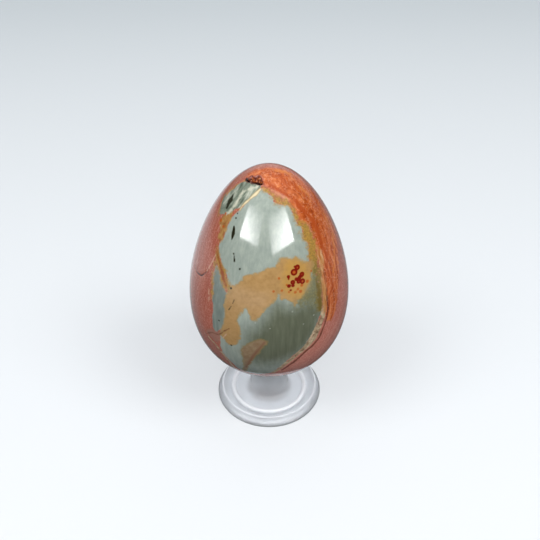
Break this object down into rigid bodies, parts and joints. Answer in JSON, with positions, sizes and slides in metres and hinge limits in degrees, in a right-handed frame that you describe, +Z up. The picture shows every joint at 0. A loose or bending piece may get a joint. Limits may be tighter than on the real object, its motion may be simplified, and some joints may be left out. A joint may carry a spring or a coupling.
{
  "type": "decorative egg on stand",
  "caption": "Polished patterned stone egg resting blunt end down in a clear moulded stand with a saucer foot, a solid stem and a shallow seat.",
  "frame": {"origin": "on the axis of the stand, at the surface that it stands on", "axes": "+Z up through the stand and the egg's pointed end, -Y towards the side that the picture shows"},
  "size_m": [0.049, 0.049, 0.0867],
  "materials": {
    "polished_stone": "polished, banded and veined natural jasper",
    "clear_plastic": "clear, moulded, glossy"
  },
  "bodies": {
    "stand": {"clear_stand": "clear_plastic"},
    "egg": {"stone_egg": "polished_stone"}
  },
  "joints": [
    {"name": "egg_lift", "type": "slide", "parent": "stand", "child": "egg", "axis": [0, 0, 1], "range_m": [0, 0.03]}
  ]
}
